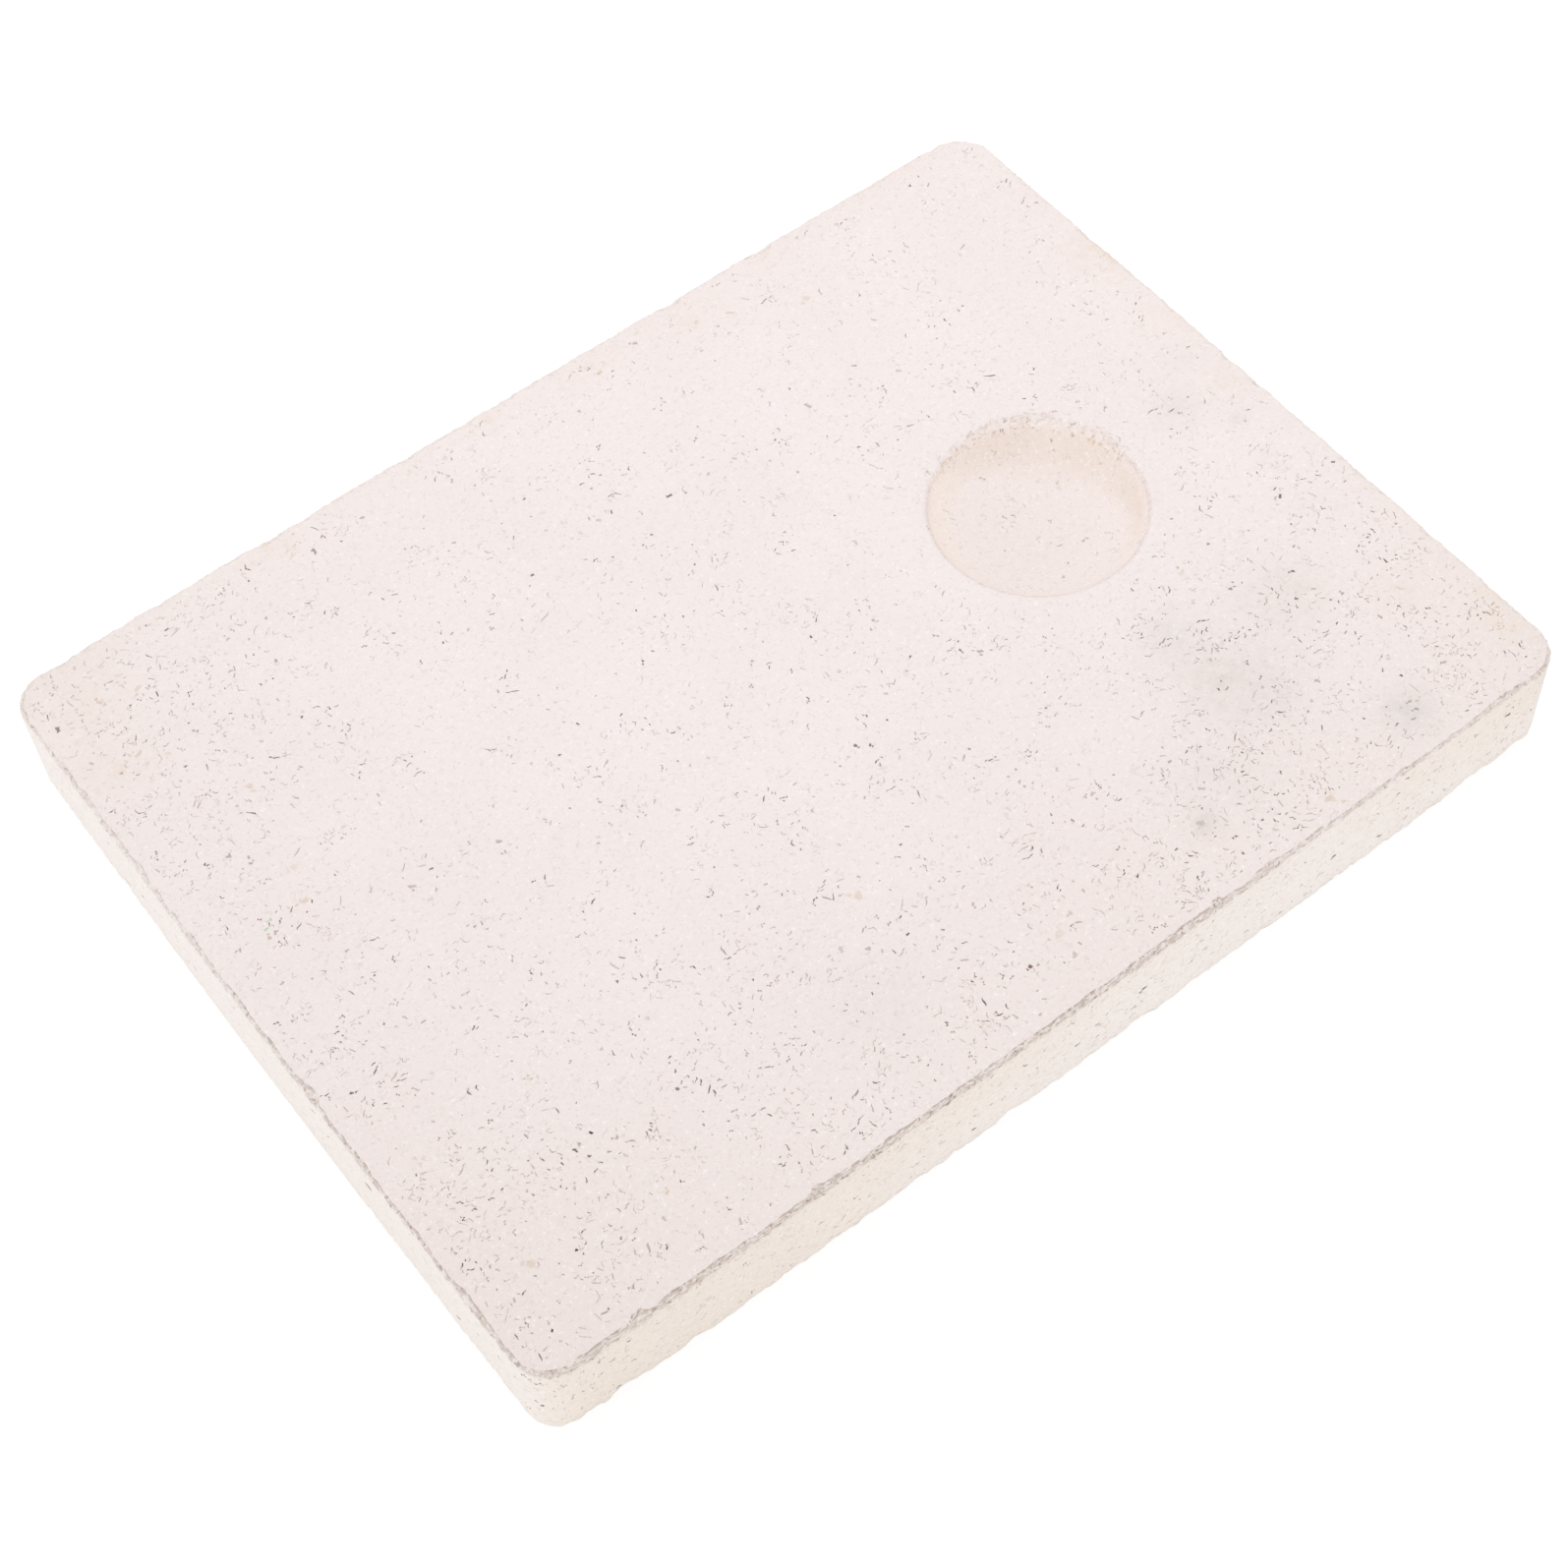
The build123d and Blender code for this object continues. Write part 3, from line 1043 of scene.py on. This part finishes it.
def quartz_refractory():
    material = bpy.data.materials.new("quartz_refractory")
    material.use_nodes = True
    tree = material.node_tree
    shader = tree.nodes["Principled BSDF"]
    wire = Wire(tree)
    place = wire.node("ShaderNodeTexCoord", out="Object")

    fine = wire.mottle(place, 2.6, 3.0, 0.7)
    sandy = wire.mottle(place, 0.9, 2.0, 0.6)
    broad = wire.mottle(place, 0.07, 1.0, 0.5)
    tints = wire.mottle(place, 0.8, 1.0, 0.5)
    grit = wire.mottle(place, 2.8, 2.0, 0.65)
    crumbs = wire.mottle(place, 1.4, 2.0, 0.7)
    on_side = wire.mark("side")

    # The pinkish white working face, duller with handling and darker towards the front with painted light
    # falloff, and the creamier sides and base, whose white is lifted with painted light
    face = broad.between(0.35, 0.65).tint(face_white, face_blush)
    face = wire.mark("dull").tint(face, handled_and_shaded)
    side = wire.mark("cream").tint(side_white_lit, side_cream)
    colour = on_side.tint(face, side)
    # The dish: its white lifted with painted light, its yellow wall partly painted shade and bounce light,
    # and its pale left wall lifted with painted light
    colour = wire.mark("bowl").tint(colour, bowl_white_lit)
    colour = wire.mark("yellowed_and_shaded").tint(colour, bowl_yellow_shaded)
    colour = wire.mark("pale_wall_lit").tint(colour, bowl_pale_lit)

    # Grain in the fired body, with pale flecks of quartz
    colour = (fine.between(0.58, 0.70) * 0.26).tint(colour, grain_grey)
    colour = fine.between(0.33, 0.42, 0.7, 0.0).tint(colour, quartz_white)
    colour = (sandy.between(0.55, 0.75) * 0.14).tint(colour, sand)

    # Tan stains and scorch marks
    stain = wire.mark("stain")
    colour = (stain * sandy.between(0.3, 0.7, 0.3, 1.0)).tint(colour, stain_tan)
    scorch = wire.mark("scorch") * sandy.between(0.25, 0.7, 0.45, 1.0)
    colour = (scorch * 0.5).tint(colour, scorch_grey)

    # Hairline seams between the grains, which show in broken lengths, and pepper-fine pores
    thick = wire.mark("density").between(0.0, 0.6, 0.3, 1.0)
    seam = wire.maths("ABSOLUTE", wire.mottle(place, 1.1, 1.0, 0.5) - 0.5, 0.0)
    hair = seam.between(0.012, 0.036, 1.0, 0.0) * crumbs.between(0.54, 0.59) * thick
    colour = (hair * 0.7).tint(colour, seam_brown)
    colour = (grit.between(0.62, 0.68) * thick * 0.55).tint(colour, seam_brown)

    # Streaks along the sides
    streak = wire.mottle(place.stretched((0.7, 0.7, 2.6)), 1.3, 2.0, 0.65)
    colour = (streak.between(0.56, 0.70) * on_side * 0.34).tint(colour, streak_brown)

    # Worn edges, where dirt sits between the broken grains; a dark line along the brink of the face, part
    # crack and part painted shade; the side darker and browner towards the edge on the bench; and the
    # crumbled rim of the dish, its dark crumbs painted shadow between the grains, and the rim's line,
    # painted shade with some dirt
    worn = wire.mark("worn")
    end = wire.mark("end")
    lengthwise = wire.mottle(place.stretched((0.4, 1, 1)), 3.4, 2.0, 0.65)
    crosswise = wire.mottle(place.stretched((1, 0.4, 1)), 3.4, 2.0, 0.65)
    edging = lengthwise * (1 - end) + crosswise * end
    colour = (worn * edging.between(0.38, 0.62, 0.12, 0.66)).tint(colour, edge_brown)
    colour = (worn * grit.between(0.59, 0.66) * 0.6).tint(colour, edge_dark)
    colour = (worn * crumbs.between(0.60, 0.66) * 0.6).tint(colour, edge_dark)
    colour = (worn * edging.between(0.30, 0.38, 0.5, 0.0)).tint(colour, edge_white)
    # A dark line along the brink of the face: part crack, part painted shade.
    colour = (wire.mark("brink") * edging.between(0.40, 0.56) * 0.45).tint(colour, brink_shade_dark)
    # The side darker and browner towards the edge on the bench, and a little over the resting face.
    darker_by_bench = wire.mark("base_edge_dark") * sandy.between(0.42, 0.58, 0.35, 1.0)
    colour = (darker_by_bench * edging.between(0.44, 0.58) * 0.42).tint(colour, base_edge_brown)
    broken = wire.mark("crumble")
    colour = (broken * grit.between(0.38, 0.62, 0.08, 0.40)).tint(colour, rim_tan)
    # Dark crumbs on the crumbled shelf: painted shadow between the broken grains.
    colour = (broken * crumbs.between(0.57, 0.63) * 0.45).tint(colour, rim_shadow_dark)
    # The rim's line: painted shade in the crease of the sound rim and along the crumbled step, with some
    # dirt in the step
    rim = wire.mark("rim") * grit.between(0.35, 0.60, 0.4, 1.0)
    colour = (rim * 0.5).tint(colour, rim_shade_and_dirt)

    # Tan grains, pale crumbs, rust spots, a green fleck, then pores, which are darkest
    tone = wire.mark("tone")
    amber = tints.between(0.35, 0.65).tint(grain_amber, grain_buff)
    colour = (wire.mark("grain").between(0.05, 0.55) * tone).tint(colour, amber)
    # Pale crumbs: the grains' own white, partly painted highlight.
    colour = (wire.mark("pale").between(0.05, 0.5) * tone).tint(colour, crumb_white_highlight)
    colour = (wire.mark("rust").between(0.05, 0.5) * tone).tint(colour, rust_brown)
    colour = (wire.mark("green").between(0.05, 0.55) * tone).tint(colour, fleck_green)
    drab = tints.between(0.4, 0.62).tint(pore_grey, pore_tan)
    drab = stain.between(0.06, 0.45).tint(drab, pore_stained)
    dark = tone.between(0.5, 1.0).tint(drab, pore_black)
    colour = (wire.mark("pore").between(0.05, 0.5) * tone).tint(colour, dark)

    tree.links.new(colour.socket, shader.inputs["Base Color"])
    rough = fine.between(0.3, 0.7, 0.82, 0.95)
    tree.links.new(rough.socket, shader.inputs["Roughness"])
    shader.inputs["Specular IOR Level"].default_value = 0.3
    height = fine + sandy * 0.6
    bump = wire.node("ShaderNodeBump", {}, {"Strength": 0.35, "Distance": 0.06 * MM, "Height": height})
    tree.links.new(bump.socket, shader.inputs["Normal"])
    return material


block = build_block()
block.data.materials.append(quartz_refractory())
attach(block, "root")
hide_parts("soldering_block")


def lay_floor():
    """A white floor that keeps the block's soft shadow."""
    half = 3.0
    corners = [(-half, -half, 0), (half, -half, 0), (half, half, 0), (-half, half, 0)]
    mesh = bpy.data.meshes.new("floor")
    mesh.from_pydata(corners, [], [(0, 1, 2, 3)])
    floor = bpy.data.objects.new("floor", mesh)
    floor.location.z = -0.02 * MM
    bpy.context.scene.collection.objects.link(floor)
    material = bpy.data.materials.new("floor_white")
    material.use_nodes = True
    tree = material.node_tree
    tree.nodes.clear()
    wire = Wire(tree)
    seen = wire.seen()
    lighting, shown, glow = rgb(0.97, 0.97, 0.97), rgb(0.18, 0.18, 0.18), 0.86
    matt = wire.node("ShaderNodeBsdfDiffuse", {}, {"Color": seen.tint(lighting, shown)})
    lit = wire.node("ShaderNodeEmission", {}, {"Color": rgb(1, 1, 1), "Strength": seen * glow})
    both = wire.node("ShaderNodeAddShader", {}, {0: matt, 1: lit})
    end = tree.nodes.new("ShaderNodeOutputMaterial")
    tree.links.new(both.socket, end.inputs["Surface"])
    mesh.materials.append(material)


def hang_sky():
    """An even sky, brighter towards the horizon and a little from the left and the front."""
    world = bpy.data.worlds.new("studio")
    world.use_nodes = True
    tree = world.node_tree
    tree.nodes.clear()
    wire = Wire(tree)
    zenith, horizon = 0.60, 1.34
    from_left, from_front = 0.13, 0.07
    direction = wire.node("ShaderNodeTexCoord", out="Generated")
    x = wire.node("ShaderNodeSeparateXYZ", {}, {"Vector": direction}, out="X")
    y = wire.node("ShaderNodeSeparateXYZ", {}, {"Vector": direction}, out="Y")
    z = wire.node("ShaderNodeSeparateXYZ", {}, {"Vector": direction}, out="Z")
    level = horizon - wire.maths("ABSOLUTE", z, 0.0) * (horizon - zenith) - x * from_left - y * from_front
    strength = wire.seen() * (1 - level) + level
    sky = wire.node("ShaderNodeBackground", {}, {"Color": rgb(1, 1, 1), "Strength": strength})
    end = tree.nodes.new("ShaderNodeOutputWorld")
    tree.links.new(sky.socket, end.inputs["Surface"])
    bpy.context.scene.world = world


def hang_lamp():
    """One broad lamp from above and behind."""
    lamp = bpy.data.lights.new("softbox", "AREA")
    lamp.shape = "SQUARE"
    lamp.size = 0.3
    lamp.energy = 0.21
    softbox = bpy.data.objects.new("softbox", lamp)
    softbox.location = (0.06, 0.07, 0.30)
    aim = Vector((0, 0, 0)) - softbox.location
    softbox.rotation_euler = aim.to_track_quat("-Z", "Y").to_euler()
    bpy.context.scene.collection.objects.link(softbox)


def set_camera():
    """The photograph's view: bearing, height and roll in degrees, distances in millimetres."""
    bearing, height, roll = math.radians(-33.34), math.radians(56.643), math.radians(-4.606)
    distance, shift_right, shift_up = 306.16, -0.042, -4.215
    image_width, focal_pixels, film_width = 1595, 3020.45, 36.0
    away = Vector((math.sin(bearing), -math.cos(bearing), 0))
    back = away * math.cos(height) + Vector((0, 0, math.sin(height)))
    level = Vector((math.cos(bearing), math.sin(bearing), 0))
    upright = back.cross(level)
    right = math.cos(roll) * level + math.sin(roll) * upright
    up = math.cos(roll) * upright - math.sin(roll) * level
    stand = (back * distance + right * shift_right + up * shift_up) * MM
    lens = bpy.data.cameras.new("camera")
    lens.sensor_fit = "HORIZONTAL"
    lens.sensor_width = film_width
    lens.lens = film_width * focal_pixels / image_width
    lens.clip_start = 0.01
    camera = bpy.data.objects.new("camera", lens)
    turn = Matrix((right, up, back)).transposed().to_4x4()
    camera.matrix_world = Matrix.Translation(stand) @ turn
    bpy.context.scene.collection.objects.link(camera)
    bpy.context.scene.camera = camera


lay_floor()
hang_sky()
hang_lamp()
set_camera()
bpy.context.scene.view_settings.view_transform = "Standard"
